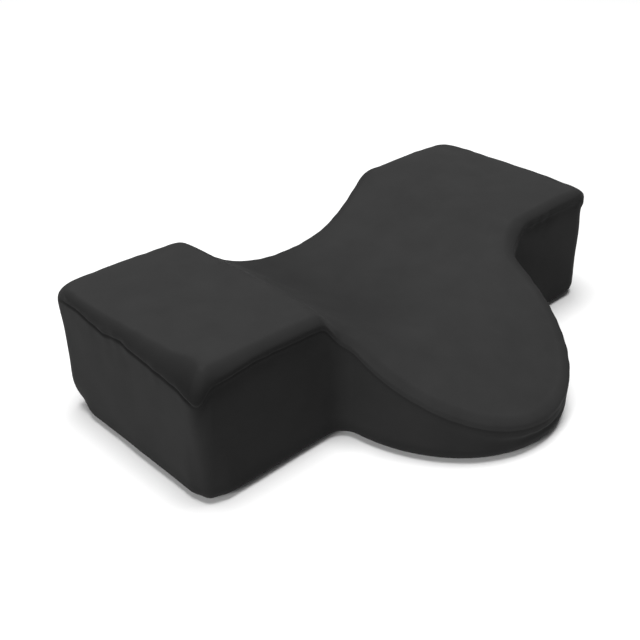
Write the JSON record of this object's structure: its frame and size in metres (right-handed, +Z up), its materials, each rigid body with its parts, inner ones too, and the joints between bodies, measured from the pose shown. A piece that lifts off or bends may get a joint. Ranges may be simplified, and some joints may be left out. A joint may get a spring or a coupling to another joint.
{
  "type": "eyelash extension pillow",
  "caption": "Wide filled T-shaped pillow with raised side wings, a curved trough for the neck and a sloping rounded tongue for the head, in a sewn short-pile cover.",
  "frame": {"origin": "middle of the footprint's bounding box, on the plane that the pillow rests on", "axes": "+Z up, X along the wings, -Y towards the tongue's tip, +Y towards the neck side"},
  "size_m": [0.5, 0.324, 0.118],
  "materials": {
    "cover": "charcoal short-pile velvet, matt with a soft grazing sheen"
  },
  "bodies": {
    "root": {"pillow": "cover"}
  },
  "joints": []
}
